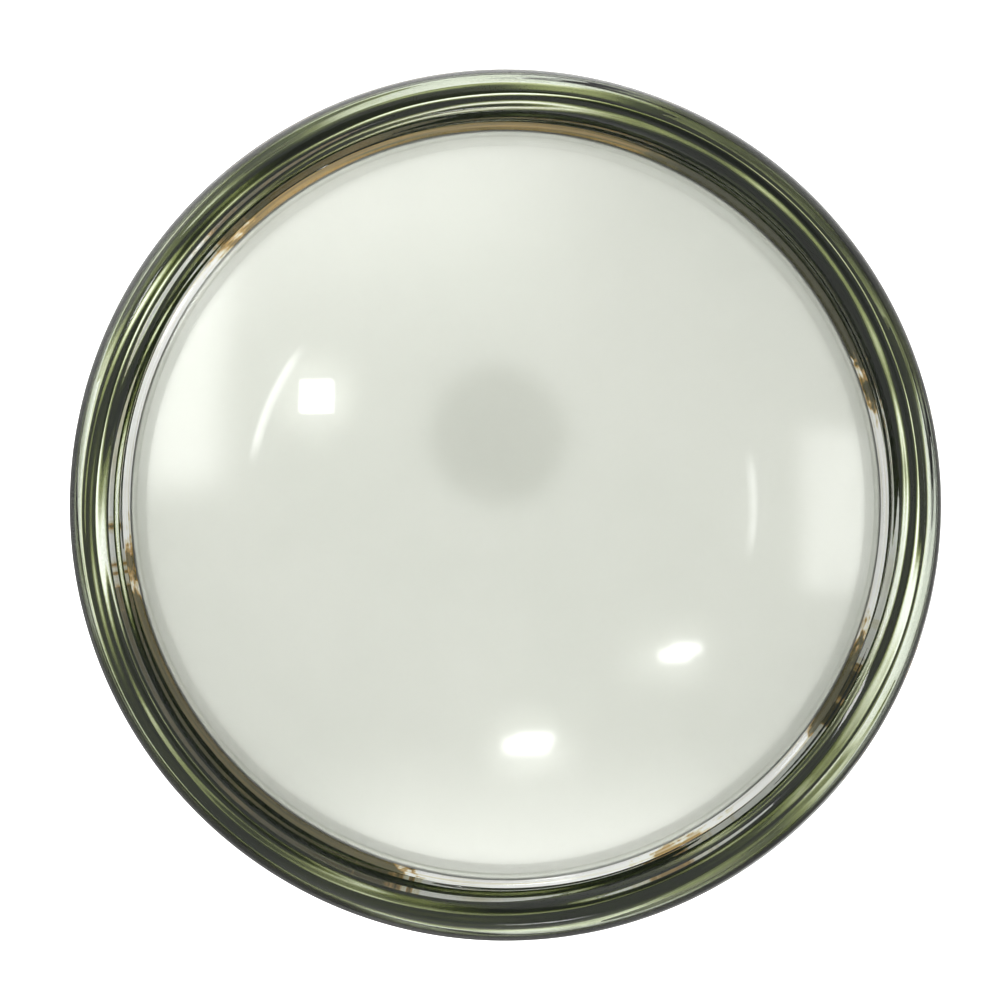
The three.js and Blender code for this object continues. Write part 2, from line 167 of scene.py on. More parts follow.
def piece(name, material, *meshes, smooth_angle=35):
    """One object of several meshes, with one material and its sharp edges kept."""
    whole = bmesh.new()
    for mesh in meshes:
        whole.from_mesh(mesh)
    limit = math.radians(smooth_angle)
    for edge in whole.edges:
        edge.smooth = len(edge.link_faces) == 2 and edge.calc_face_angle(math.pi) < limit
    for face in whole.faces:
        face.smooth = True
        face.material_index = 0
    mesh = bpy.data.meshes.new(name)
    whole.to_mesh(mesh)
    whole.free()
    mesh.materials.clear()
    mesh.materials.append(material)
    made = bpy.data.objects.new(name, mesh)
    bpy.context.scene.collection.objects.link(made)
    return made


def fit(made, body, slot, *nodes):
    """The piece rides on a body and stands for CAD nodes. The slot, its finish, is not used."""
    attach(made, body)
    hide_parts(*nodes)
    return made


galvanised, tree, shader = surface("hot-dip galvanised steel", Metallic=0.85)
crystals = pattern(tree, "ShaderNodeTexVoronoi", 170)
clouds = pattern(tree, "ShaderNodeTexNoise", 60, Detail=5.0, Roughness=0.6)
spangle = ramp(tree, crystals.outputs["Color"], (0.2, (0.30, 0.315, 0.32)), (0.8, (0.47, 0.485, 0.49)))
weathered = ramp(tree, clouds.outputs["Fac"], (0.4, 0.0), (0.65, 0.6))
dulled = blended(tree, weathered, spangle, (0.36, 0.37, 0.37, 1))
tree.links.new(dulled, shader.inputs["Base Color"])
tree.links.new(ramp(tree, crystals.outputs["Color"], (0.2, 0.38), (0.9, 0.62)), shader.inputs["Roughness"])
relief(tree, shader, clouds.outputs["Fac"], 0.00015, 0.5)

FACING = Matrix.Rotation(math.radians(90), 4, "X")  # a plate's own Y goes up and its thickness comes forward

plate_low, plate_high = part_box("wall_plate")
plate_size = plate_high - plate_low
PLATE_THICKNESS = 0.005
PLATE_SMOOTHING = 20  # degrees: keeps the eased edges from shading the flat faces
LUG_THICKNESS = 0.005
LUG_END = 0.014
PIVOT_BORE = 0.0053
HALF_FORK = 0.014
pan_axis_y = frame["joints"][0]["pos_m"][1]
tilt_axis_y = frame["joints"][1]["pos_m"][1]

anchor_holes = [circle(0.0045, 32, (x, z)) for x in (-0.036, 0.036) for z in (-0.046, 0.046)]
plate_outline = rounded_rectangle(plate_size.x, plate_size.z, 0.010)
base = plate(plate_outline, anchor_holes, PLATE_THICKNESS, FACING, 0.0006)
lug = lug_outline(LUG_END, 0.0224, -pan_axis_y - PLATE_THICKNESS + 0.001)
pan_bore = circle(PIVOT_BORE, 32)
lugs = [
    plate(lug, [pan_bore], LUG_THICKNESS, Matrix.Translation((0, pan_axis_y, z)))
    for z in (HALF_FORK, -HALF_FORK - LUG_THICKNESS)
]
gusset = [(-0.001, -0.001), (0.016, -0.001), (0.0155, 0.0015), (0.001, 0.0205), (-0.001, 0.021)]
SIDEWAYS = Matrix(((0, 0, -1, 0), (-1, 0, 0, 0), (0, 1, 0, 0), (0, 0, 0, 1)))  # own X forward, own Y up
gusset_foot = Matrix.Translation((0.0025, -PLATE_THICKNESS, HALF_FORK + LUG_THICKNESS))
gusset_flip = Matrix.Rotation(math.pi, 4, "Y")
gussets = [plate(gusset, [], 0.005, turn @ gusset_foot @ SIDEWAYS)
           for turn in (Matrix.Identity(4), gusset_flip)]


def sized_tree(name, **sizes):
    """A Geometry Nodes tree that takes a geometry and named sizes: the tree, its inputs and its output."""
    tree = bpy.data.node_groups.new(name, "GeometryNodeTree")
    tree.interface.new_socket("Geometry", in_out="INPUT", socket_type="NodeSocketGeometry")
    for label, size in sizes.items():
        socket_type = "NodeSocketInt" if isinstance(size, int) else "NodeSocketFloat"
        socket = tree.interface.new_socket(label.replace("_", " "), in_out="INPUT", socket_type=socket_type)
        socket.default_value = size
    tree.interface.new_socket("Geometry", in_out="OUTPUT", socket_type="NodeSocketGeometry")
    outlet = tree.nodes.new("NodeGroupOutput").inputs["Geometry"]
    return tree, tree.nodes.new("NodeGroupInput").outputs, outlet


def close_tree(tree, geometry, material, outlet):
    """Ends a tree in Realize Instances and Set Material."""
    real = add(tree, "GeometryNodeRealizeInstances", {"Geometry": geometry})
    dressed = add(tree, "GeometryNodeSetMaterial", {"Geometry": real.outputs[0], "Material": material})
    tree.links.new(dressed.outputs[0], outlet)


def grown(tree, base, **sizes):
    """The plain mesh that a tree makes from a base mesh and the given sizes."""
    holder = bpy.data.objects.new("holder", base)
    bpy.context.scene.collection.objects.link(holder)
    modifier = holder.modifiers.new("Growth", "NODES")
    modifier.node_group = tree
    for socket in tree.interface.items_tree:
        label = socket.name.replace(" ", "_")
        if label in sizes:
            modifier[socket.identifier] = sizes[label]
    graph = bpy.context.evaluated_depsgraph_get()
    result = bpy.data.meshes.new_from_object(holder.evaluated_get(graph))
    bpy.data.objects.remove(holder)
    return result


def points_mesh(points, edges=()):
    """A mesh of bare points, and of edges between them."""
    mesh = bpy.data.meshes.new("points")
    mesh.from_pydata(points, edges, [])
    return mesh


# A weld bead is a row of overlapping drops along each edge of the base mesh.
weld_tree, sizes, outlet = sized_tree("weld bead", Bead_Radius=0.0016, Step=0.0012, Seed=3)
paths = add(weld_tree, "GeometryNodeMeshToCurve", {"Mesh": sizes["Geometry"]})
steps = add(weld_tree, "GeometryNodeResampleCurve",
            {"Curve": paths.outputs[0], "Length": sizes["Step"]}, mode="LENGTH")
drop = add(weld_tree, "GeometryNodeMeshIcoSphere", {"Radius": sizes["Bead Radius"], "Subdivisions": 2})
uneven = add(weld_tree, "FunctionNodeRandomValue",
             {2: 0.82, 3: 1.12, "Seed": sizes["Seed"]}, data_type="FLOAT")
drops = add(weld_tree, "GeometryNodeInstanceOnPoints", {
    "Points": steps.outputs[0], "Instance": drop.outputs["Mesh"], "Scale": uneven.outputs[1]})
close_tree(weld_tree, drops.outputs[0], galvanised, outlet)

face_y, lug_top, half_root = -PLATE_THICKNESS, HALF_FORK + LUG_THICKNESS, 0.0215
weld_ends = []
for up in (1, -1):
    weld_ends += [(-half_root, face_y, up * lug_top), (half_root, face_y, up * lug_top)]
    for side in (-0.0025, 0.0025):
        weld_ends += [(side, face_y, up * lug_top), (side, face_y, up * (lug_top + 0.0195))]
        weld_ends += [(side, face_y, up * lug_top), (side, face_y - 0.0145, up * lug_top)]
welds = grown(weld_tree, points_mesh(weld_ends, [(i, i + 1) for i in range(0, len(weld_ends), 2)]))

weldment = piece(
    "wall_bracket_weldment", galvanised, base, *lugs, *gussets, welds, smooth_angle=PLATE_SMOOTHING)
fit(weldment, "wall_mount", "galvanised_steel",
    "wall_plate")


# ---- Pan pivot ----
# An M10 stainless bolt through both lugs, with a plain washer under its head and under its locknut. The nut
# has the nylon-insert collar that lets it grip the thread without clamping the bracket solid.

def calc(tree, operation, first, second=0.0):
    """The output of a Math node."""
    return add(tree, "ShaderNodeMath", {0: first, 1: second}, operation=operation).outputs[0]


def lifted(tree, geometry, height):
    """Geometry moved up by a height."""
    offset = add(tree, "ShaderNodeCombineXYZ", {"Z": height}).outputs[0]
    return add(tree, "GeometryNodeTransform", {"Geometry": geometry, "Translation": offset}).outputs[0]


def standing_cylinder(tree, sides, radius, low, high):
    """A cylinder between two heights."""
    depth = calc(tree, "SUBTRACT", high, low)
    body = add(tree, "GeometryNodeMeshCylinder", {"Vertices": sides, "Radius": radius, "Depth": depth})
    return lifted(tree, body.outputs["Mesh"], calc(tree, "MULTIPLY", calc(tree, "ADD", high, low), 0.5))


def combined(tree, operation, *meshes):
    """Meshes joined, cut or intersected."""
    node = add(tree, "GeometryNodeMeshBoolean", operation=operation, solver="EXACT")
    first = 1 if operation == "DIFFERENCE" else 0
    if first:
        tree.links.new(meshes[0], node.inputs["Mesh 1"])
    for mesh in meshes[first:]:
        tree.links.new(mesh, node.inputs["Mesh 2"])
    return node.outputs["Mesh"]


def chamfered_hexagon(tree, flats, low, high, both_ends=False):
    """A hexagonal prism with its corners turned down by a 30 degree cone."""
    prism = standing_cylinder(tree, 6, calc(tree, "DIVIDE", flats, math.sqrt(3)), low, high)
    depth = calc(tree, "SUBTRACT", high, low)
    tip = calc(tree, "MULTIPLY", flats, 0.47)
    skirt = calc(tree, "ADD", tip, calc(tree, "MULTIPLY", depth, math.sqrt(3)))
    cone = add(tree, "GeometryNodeMeshCone", {
        "Vertices": 64, "Radius Top": tip, "Radius Bottom": skirt, "Depth": depth})
    cones = [lifted(tree, cone.outputs["Mesh"], low)]
    if both_ends:
        flipped = add(tree, "GeometryNodeTransform", {
            "Geometry": cone.outputs["Mesh"], "Rotation": (math.pi, 0, 0)})
        cones.append(lifted(tree, flipped.outputs[0], high))
    return combined(tree, "INTERSECT", prism, *cones)


stainless, tree, shader = surface("bright stainless steel", Metallic=1.0)
rolling = pattern(tree, "ShaderNodeTexNoise", 900, (1, 0.06, 1), Detail=3.0)
smears = pattern(tree, "ShaderNodeTexNoise", 90, Detail=4.0)
tint = ramp(tree, smears.outputs["Fac"], (0.35, (0.55, 0.55, 0.53)), (0.65, (0.64, 0.637, 0.615)))
tree.links.new(tint, shader.inputs["Base Color"])
tree.links.new(ramp(tree, rolling.outputs["Fac"], (0.3, 0.22), (0.7, 0.32)), shader.inputs["Roughness"])
relief(tree, shader, rolling.outputs["Fac"], 0.000008, 0.3)

# A bolt's seat is at Z = 0, with its head above and its shank below. One is made at each base point.
bolt_tree, sizes, outlet = sized_tree(
    "hexagon bolt", Shank_Radius=0.005, Shank_Length=0.05, Across_Flats=0.016, Head_Height=0.0064,
    Collar_Radius=0.0074, Collar_Height=0.0005, Thread_Length=0.02, Pitch=0.0015)
head = chamfered_hexagon(bolt_tree, sizes["Across Flats"], sizes["Collar Height"], sizes["Head Height"])
collar = standing_cylinder(bolt_tree, 48, sizes["Collar Radius"], 0.0, sizes["Collar Height"])
tip = calc(bolt_tree, "MULTIPLY", sizes["Shank Length"], -1.0)
thread_top = calc(bolt_tree, "ADD", tip, sizes["Thread Length"])
plain = standing_cylinder(bolt_tree, 32, sizes["Shank Radius"], thread_top, sizes["Collar Height"])
root_radius = calc(
    bolt_tree, "SUBTRACT", sizes["Shank Radius"], calc(bolt_tree, "MULTIPLY", sizes["Pitch"], 0.6))
core = standing_cylinder(bolt_tree, 32, root_radius, tip, thread_top)
turns = calc(bolt_tree, "DIVIDE", sizes["Thread Length"], sizes["Pitch"])
ridge_radius = calc(
    bolt_tree, "SUBTRACT", sizes["Shank Radius"], calc(bolt_tree, "MULTIPLY", sizes["Pitch"], 0.5))
helix = add(bolt_tree, "GeometryNodeCurveSpiral", {
    "Resolution": 32, "Rotations": turns, "Start Radius": ridge_radius, "End Radius": ridge_radius,
    "Height": sizes["Thread Length"]})
ridge = add(bolt_tree, "GeometryNodeCurvePrimitiveCircle", {
    "Resolution": 4, "Radius": calc(bolt_tree, "MULTIPLY", sizes["Pitch"], 0.48)})
thread = add(bolt_tree, "GeometryNodeCurveToMesh", {
    "Curve": helix.outputs[0], "Profile Curve": ridge.outputs["Curve"], "Fill Caps": True})
bolt = add(bolt_tree, "GeometryNodeJoinGeometry")
for part in (lifted(bolt_tree, thread.outputs[0], tip), core, plain, collar, head):
    bolt_tree.links.new(part, bolt.inputs[0])
bolts = add(bolt_tree, "GeometryNodeInstanceOnPoints",
            {"Points": sizes["Geometry"], "Instance": bolt.outputs[0]})
close_tree(bolt_tree, bolts.outputs[0], stainless, outlet)

# A nut stands on Z = 0. A locknut has a round collar above its hexagon, and a plain nut has none.
nut_tree, sizes, outlet = sized_tree(
    "hexagon nut", Across_Flats=0.016, Height=0.0066, Bore_Radius=0.0051, Collar_Radius=0.0066,
    Collar_Top=0.0094)
hexagon = chamfered_hexagon(nut_tree, sizes["Across Flats"], 0.0, sizes["Height"], both_ends=True)
collar = standing_cylinder(nut_tree, 48, sizes["Collar Radius"], 0.0005, sizes["Collar Top"])
bore = standing_cylinder(nut_tree, 32, sizes["Bore Radius"], -0.001, 0.02)
nut = combined(nut_tree, "DIFFERENCE", combined(nut_tree, "UNION", hexagon, collar), bore)
nuts = add(nut_tree, "GeometryNodeInstanceOnPoints", {"Points": sizes["Geometry"], "Instance": nut})
close_tree(nut_tree, nuts.outputs[0], stainless, outlet)


def eased(outline, radius, closed=True, steps=3):
    """An outline with its corners rounded, except that an open one keeps its ends."""
    made = []
    count = len(outline)
    for i, corner in enumerate(outline):
        if not closed and i in (0, count - 1):
            made.append(corner)
            continue
        here = Vector(corner)
        before, after = Vector(outline[i - 1]) - here, Vector(outline[(i + 1) % count]) - here
        start = here + before.normalized() * min(radius, before.length * 0.45)
        end = here + after.normalized() * min(radius, after.length * 0.45)
        for step in range(steps + 1):
            t = step / steps
            made.append(tuple(start.lerp(here, t).lerp(here.lerp(end, t), t)))
    return made


def turned(outline, matrix, sides=96, sweep=2 * math.pi, start=0.0):
    """A mesh turned about its own Z from (radius, height) points, put in place by a matrix.
    An outline that leaves the axis free is closed on itself. A part turn gets flat ends."""
    body = bmesh.new()
    whole = sweep == 2 * math.pi
    closed = outline[0][0] > 1e-7
    on_axis = {i: body.verts.new((0, 0, h)) for i, (r, h) in enumerate(outline) if r <= 1e-7}
    rows = []
    for s in range(sides if whole else sides + 1):
        angle = start + sweep * s / sides
        across, up = math.sin(angle), math.cos(angle)
        rows.append([on_axis.get(i) or body.verts.new((r * across, r * up, h))
                     for i, (r, h) in enumerate(outline)])
    pairs = list(zip(rows, rows[1:] + rows[:1])) if whole else list(zip(rows, rows[1:]))
    for row, following in pairs:
        for i in range(len(outline) if closed else len(outline) - 1):
            j = (i + 1) % len(outline)
            corners = dict.fromkeys([row[i], row[j], following[j], following[i]])
            body.faces.new(list(corners))
    if not whole:
        body.faces.new(rows[0])
        body.faces.new(rows[-1])
    bmesh.ops.recalc_face_normals(body, faces=body.faces)
    mesh = bpy.data.meshes.new("turned")
    body.to_mesh(mesh)
    body.free()
    mesh.transform(matrix)
    return mesh


WASHER_RADIUS = 0.0105
WASHER_THICKNESS = 0.0023


def pivot(name, matrix, seat, far_end, body, first, second):
    """The bolt, washers and locknut of one pivot. The seat is a lug's outer face; the axis is its own Z."""
    under = seat + WASHER_THICKNESS
    length = under - far_end
    at_head = matrix @ Matrix.Translation((0, 0, under))
    bolt = grown(bolt_tree, points_mesh([(0, 0, 0)]), Shank_Length=length, Thread_Length=0.018)
    bolt.transform(at_head)
    fit(piece(f"{name}_pivot_bolt", stainless, bolt), body, "stainless_steel", f"{name}_bolt")
    nut = grown(nut_tree, points_mesh([(0, 0, 0)]))
    turn_over = Matrix.Rotation(math.pi, 4, "X") @ Matrix.Rotation(math.radians(17), 4, "Z")
    nut.transform(matrix @ Matrix.Translation((0, 0, -under)) @ turn_over)
    fit(piece(f"{name}_locknut", stainless, nut), body, "stainless_steel", f"{name}_nut")
    section = [(PIVOT_BORE, 0), (WASHER_RADIUS, 0),
               (WASHER_RADIUS, WASHER_THICKNESS), (PIVOT_BORE, WASHER_THICKNESS)]
    for side, height in ((first, seat), (second, -under)):
        washer = turned(eased(section, 0.0004), matrix @ Matrix.Translation((0, 0, height)), 64)
        washer_piece = piece(f"{name}_plain_washer_{side}", stainless, washer)
        fit(washer_piece, body, "stainless_steel", f"{name}_washer_{side}")


pan_place = Matrix.Translation((0, pan_axis_y, 0))
pivot("pan", pan_place, lug_top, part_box("pan_bolt")[0].z, "wall_mount", "upper", "lower")


# ---- Swivel ----
# A malleable-iron knuckle, galvanised after casting, with an upright barrel for the pan bolt and a level one
# for the tilt bolt. Each barrel has a pair of flanged nylon bushes, so that no steel turns on steel.

reach = pan_axis_y - tilt_axis_y
BUSH_FLANGE = 0.0015
half_barrel = HALF_FORK - BUSH_FLANGE - 0.0003
PAN_BARREL, TILT_BARREL, BARREL_BORE = 0.013, 0.012, 0.0066
tilt_place = Matrix.Translation((0, tilt_axis_y, 0)) @ Matrix.Rotation(math.radians(-90), 4, "Y")


def barrel(radius, half, matrix, sides=64):
    """A solid cylinder about its own Z."""
    return turned([(0, -half), (radius, -half), (radius, half), (0, half)], matrix, sides)


waist = [(reach * t, 0.010 - 0.0155 * t * (1 - t)) for t in [i / 12 for i in range(13)]]
web_outline = waist + [(x, -half) for x, half in reversed(waist)]
web_place = Matrix.Translation((0.008, pan_axis_y, 0)) @ SIDEWAYS
web = plate(web_outline, [], 0.016, web_place, 0.002)
blank = bmesh.new()
for part in (barrel(PAN_BARREL, half_barrel, pan_place), barrel(TILT_BARREL, half_barrel, tilt_place), web):
    blank.from_mesh(part)
casting = bpy.data.meshes.new("casting")
blank.to_mesh(casting)
blank.free()
casting = baked(
    casting,
    ("REMESH", {"mode": "VOXEL", "voxel_size": 0.0007}),
    ("SMOOTH", {"factor": 0.5, "iterations": 7}))
for place in (pan_place, tilt_place):
    drill = bpy.data.objects.new("drill", barrel(BARREL_BORE, HALF_FORK, place, 48))
    bpy.context.scene.collection.objects.link(drill)
    casting = baked(casting, ("BOOLEAN", {"object": drill, "operation": "DIFFERENCE", "solver": "EXACT"}))
    bpy.data.objects.remove(drill)
casting_piece = piece("swivel_casting", galvanised, casting, smooth_angle=50)
fit(casting_piece, "swivel", "galvanised_steel", "swivel_knuckle")

nylon, tree, shader = surface("natural nylon", Roughness=0.5, Subsurface_Weight=0.15)
shader.inputs["Subsurface Radius"].default_value = (0.002, 0.0016, 0.001)
mottle = pattern(tree, "ShaderNodeTexNoise", 260, Detail=3.0)
tree.links.new(ramp(tree, mottle.outputs["Fac"], (0.3, (0.66, 0.62, 0.50)), (0.7, (0.76, 0.73, 0.62))),
               shader.inputs["Base Color"])
relief(tree, shader, mottle.outputs["Fac"], 0.00005, 0.4)

RUNNING_GAP = 0.00003  # between a bush and the steel that turns against it
bush_top = HALF_FORK - RUNNING_GAP
bush_section = [
    (PIVOT_BORE, half_barrel - 0.010), (BARREL_BORE, half_barrel - 0.010), (BARREL_BORE, half_barrel),
    (0.0115, half_barrel), (0.0115, bush_top), (PIVOT_BORE, bush_top)]
over = Matrix.Rotation(math.pi, 4, "X")
for name, place in (
        ("pan_bush_upper", pan_place), ("pan_bush_lower", pan_place @ over),
        ("tilt_bush_left", tilt_place), ("tilt_bush_right", tilt_place @ over)):
    sleeve = turned(eased(bush_section, 0.0003), place, 72)
    fit(piece(f"{name}_sleeve", nylon, sleeve), "swivel", "nylon", name)


# ---- Tilt bracket ----
# A 4 mm base plate with two welded ears, galvanised like the wall plate. Four M6 flange bolts pass through it
# and the mirror's back into nuts inside, where a doubler plate spreads their grip over the thin shell.

bracket_low, bracket_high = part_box("tilt_bracket")
bracket_face_y = bracket_low.y
BRACKET_THICKNESS = 0.004
EAR_THICKNESS = 0.004
BOLT_X, BOLT_Z = 0.032, 0.028

BACKWARD = Matrix.Rotation(math.radians(-90), 4, "X")
bolt_holes = [circle(0.0033, 24, (x, z)) for x in (-BOLT_X, BOLT_X) for z in (-BOLT_Z, BOLT_Z)]
bracket_outline = rounded_rectangle(bracket_high.x - bracket_low.x, bracket_high.z - bracket_low.z, 0.008)
bracket_back_y = bracket_face_y + BRACKET_THICKNESS
on_back = Matrix.Translation((0, bracket_back_y, 0)) @ FACING
foot = plate(bracket_outline, bolt_holes, BRACKET_THICKNESS, on_back, 0.0006)
ear = lug_outline(LUG_END, 0.0238, tilt_axis_y - bracket_back_y + 0.001)
# A plate's own Y comes forward and its thickness goes across.
TOWARDS_HEAD = Matrix(((0, 0, 1, 0), (0, -1, 0, 0), (1, 0, 0, 0), (0, 0, 0, 1)))
ears = [
    plate(ear, [pan_bore], EAR_THICKNESS, Matrix.Translation((x, tilt_axis_y, 0)) @ TOWARDS_HEAD)
    for x in (HALF_FORK, -HALF_FORK - EAR_THICKNESS)
]
ear_face = HALF_FORK + EAR_THICKNESS
ear_welds = [(side, bracket_back_y, z) for side in (ear_face, -ear_face) for z in (-0.023, 0.023)]
beads = grown(weld_tree, points_mesh(ear_welds, [(0, 1), (2, 3)]), Bead_Radius=0.0015)
weldment = piece("tilt_bracket_weldment", galvanised, foot, *ears, beads, smooth_angle=PLATE_SMOOTHING)
fit(weldment, "mirror_head", "galvanised_steel", "tilt_bracket")

doubler_low, doubler_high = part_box("shell_doubler")
doubler_outline = rounded_rectangle(doubler_high.x - doubler_low.x, doubler_high.z - doubler_low.z, 0.010)
doubler_place = Matrix.Translation((0, doubler_high.y, 0)) @ FACING
doubler = plate(doubler_outline, bolt_holes, doubler_high.y - doubler_low.y, doubler_place)
doubler_piece = piece("doubler_plate", galvanised, doubler, smooth_angle=PLATE_SMOOTHING)
fit(doubler_piece, "mirror_head", "galvanised_steel", "shell_doubler")

corners = [(BOLT_X, BOLT_Z, 0), (-BOLT_X, BOLT_Z, 0), (-BOLT_X, -BOLT_Z, 0), (BOLT_X, -BOLT_Z, 0)]
grip_length = bracket_back_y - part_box("bracket_bolt_1")[0].y
flange_bolts = grown(
    bolt_tree, points_mesh(corners), Shank_Radius=0.003, Shank_Length=grip_length, Across_Flats=0.010,
    Head_Height=0.006, Collar_Radius=0.0065, Collar_Height=0.0014, Thread_Length=0.014, Pitch=0.001)
flange_bolts.transform(Matrix.Translation((0, bracket_back_y, 0)) @ BACKWARD)
fit(piece("bracket_flange_bolts", stainless, flange_bolts), "mirror_head", "stainless_steel",
    *[f"bracket_bolt_{i}" for i in range(1, 5)])
shell_nuts = grown(nut_tree, points_mesh(corners), Across_Flats=0.010, Height=0.005, Bore_Radius=0.0031,
                   Collar_Radius=0.004, Collar_Top=0.0045)
shell_nuts.transform(Matrix.Translation((0, doubler_low.y, 0)) @ FACING)
fit(piece("bracket_nuts", stainless, shell_nuts), "mirror_head", "stainless_steel",
    *[f"bracket_nut_{i}" for i in range(1, 5)])

pivot("tilt", tilt_place, ear_face, -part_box("tilt_bolt")[1].x, "mirror_head", "left", "right")


# ---- Back shell ----
# A 2 mm sheet-steel pressing, powder coated pale grey: a flat flange that the band grips, a rounded wall and
# a flat middle for the bracket. A pressed step runs round its back, and it has a drain and a breather.

lens_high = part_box("glass_lens")[1]
LENS_FLANGE_BACK = 0.0095
rim_y = lens_high.y - LENS_FLANGE_BACK
at_rim = Matrix.Translation((0, rim_y, 0)) @ FACING  # heights are measured forward from the rim plane

powder, tree, shader = surface("pale grey powder coat", Coat_Weight=0.25, Coat_Roughness=0.3)
peel = pattern(tree, "ShaderNodeTexNoise", 1100, Detail=2.0)
dust = pattern(tree, "ShaderNodeTexNoise", 22, Detail=6.0, Roughness=0.65)
runs = pattern(tree, "ShaderNodeTexNoise", 120, (1, 1, 0.12), Detail=4.0)
grime = calc(tree, "MULTIPLY", ramp(tree, dust.outputs["Fac"], (0.45, 0.0), (0.75, 1.0)), runs.outputs["Fac"])
coat = blended(tree, grime, (0.555, 0.575, 0.55, 1), (0.36, 0.365, 0.33, 1))
tree.links.new(coat, shader.inputs["Base Color"])
tree.links.new(ramp(tree, dust.outputs["Fac"], (0.35, 0.36), (0.7, 0.56)), shader.inputs["Roughness"])
relief(tree, shader, peel.outputs["Fac"], 0.00006, 0.55)

FLANGE_FRONT, FLANGE_BACK, SHELL_BACK = -0.0121, -0.0141, -0.045
shell_outside = [
    (0.147, FLANGE_FRONT), (0.147, FLANGE_BACK), (0.1335, FLANGE_BACK), (0.1295, -0.024), (0.122, -0.032),
    (0.110, -0.038), (0.090, -0.0415), (0.0875, -0.0426), (0.066, SHELL_BACK), (0, SHELL_BACK)]
shell_inside = [
    (0, SHELL_BACK + 0.002), (0.0658, SHELL_BACK + 0.002), (0.1093, -0.0361), (0.1206, -0.0304),
    (0.1275, -0.023), (0.1313, FLANGE_BACK), (0.1313, FLANGE_FRONT)]
inside_wall = eased(shell_inside[:-1], 0.0045, closed=False, steps=5) + [shell_inside[-1]]
outside_wall = eased([shell_inside[-1], *shell_outside], 0.004, closed=False, steps=5)[1:]
pressing = turned(inside_wall + outside_wall, at_rim, 224)

DRAIN_RADIUS, DRAIN_HEIGHT, DRAIN_LEAN = 0.1315, -0.01905, math.radians(22)
drain_place = Matrix.Translation((0, rim_y - DRAIN_HEIGHT, -DRAIN_RADIUS)) @ Matrix.Rotation(
    math.pi - DRAIN_LEAN, 4, "X")
VENT_DROP = -0.054
vent_place = Matrix.Translation((0, rim_y - SHELL_BACK, VENT_DROP)) @ BACKWARD
drills = [barrel(0.0029, 0.004, drain_place, 32), barrel(0.0038, 0.004, vent_place, 32)]
for x, z, _ in corners:
    drills.append(barrel(0.0033, 0.004, Matrix.Translation((x, rim_y - SHELL_BACK, z)) @ FACING, 24))
for mesh in drills:
    drill = bpy.data.objects.new("drill", mesh)
    bpy.context.scene.collection.objects.link(drill)
    pressing = baked(pressing, ("BOOLEAN", {"object": drill, "operation": "DIFFERENCE", "solver": "EXACT"}))
    bpy.data.objects.remove(drill)
fit(piece("pressed_back", powder, pressing, smooth_angle=40), "mirror_head", "grey_paint", "back_shell")

rubber, tree, shader = surface("black moulded rubber", Roughness=0.62)
bloom = pattern(tree, "ShaderNodeTexNoise", 70, Detail=5.0)
grain = pattern(tree, "ShaderNodeTexNoise", 1600, Detail=2.0)
tree.links.new(ramp(tree, bloom.outputs["Fac"], (0.35, (0.014, 0.017, 0.013)), (0.75, (0.045, 0.05, 0.042))),
               shader.inputs["Base Color"])
relief(tree, shader, grain.outputs["Fac"], 0.00004, 0.6)

ring_section = [
    (0.0014, -0.0037), (0.0042, -0.0037), (0.0042, -0.0025), (0.0026, -0.0025),
    (0.0026, 0.0005), (0.0042, 0.0005), (0.0042, 0.0017), (0.0014, 0.0017)]
drain = turned(eased(ring_section, 0.0005), drain_place, 48)
fit(piece("drain_ring", rubber, drain), "mirror_head", "black_rubber", "drain_grommet")

plastic, tree, shader = surface("black moulded plastic", Roughness=0.45)
sparkle = pattern(tree, "ShaderNodeTexVoronoi", 1400)
tree.links.new(ramp(tree, sparkle.outputs["Distance"],
                    (0.0, (0.016, 0.016, 0.016)), (1.0, (0.03, 0.031, 0.03))),
               shader.inputs["Base Color"])
relief(tree, shader, sparkle.outputs["Distance"], 0.00005, 0.5)

cap_section = [
    (0, -0.0038), (0.005, -0.0038), (0.005, -0.0023), (0.0035, -0.0023), (0.0035, 0.0001), (0.007, 0.0001),
    (0.007, 0.0026), (0.0058, 0.0038), (0.0028, 0.0038), (0.0022, 0.0032), (0, 0.0032)]
cap = turned(eased(cap_section, 0.0004, closed=False), vent_place, 48)
fit(piece("breather_cap", plastic, cap), "mirror_head", "black_plastic", "vent_plug")


# ---- Clamp band ----
# A rolled channel of 1.6 mm stainless strip whose two lips squeeze the gasket and the shell's flange
# together. It is split at the top, where two ears folded back from it take the M5 bolt that draws it tight.

BAND_OUTER, BAND_INNER, BAND_FRONT, BAND_BACK = 0.1489, 0.1473, -0.0002, -0.0156
BAND_LIP = 0.0012
HALF_SPLIT, BAND_EAR_THICKNESS = 0.007, 0.003
ear_bolt = (-0.023, 0.143)

band_section = [
    (0.1435, BAND_FRONT - BAND_LIP), (0.1435, BAND_FRONT), (BAND_OUTER, BAND_FRONT), (BAND_OUTER, BAND_BACK),
    (0.142, BAND_BACK), (0.142, BAND_BACK + BAND_LIP), (BAND_INNER, BAND_BACK + BAND_LIP),
    (BAND_INNER, BAND_FRONT - BAND_LIP)]
half_gap = HALF_SPLIT / BAND_INNER
hoop = turned(eased(band_section, 0.0009), at_rim, 240, sweep=2 * math.pi - 2 * half_gap, start=half_gap)
ear_outline = [(-0.0146, 0.1485), (-0.0285, 0.1485), (-0.031, 0.146), (-0.031, 0.140), (-0.0285, 0.1375),
               (-0.0146, 0.1375)]
band_ears = [
    plate(ear_outline, [circle(0.0028, 24, ear_bolt)], BAND_EAR_THICKNESS,
          Matrix.Translation((x, rim_y, 0)) @ SIDEWAYS, 0.0005)
    for x in (-HALF_SPLIT, HALF_SPLIT + BAND_EAR_THICKNESS)
]
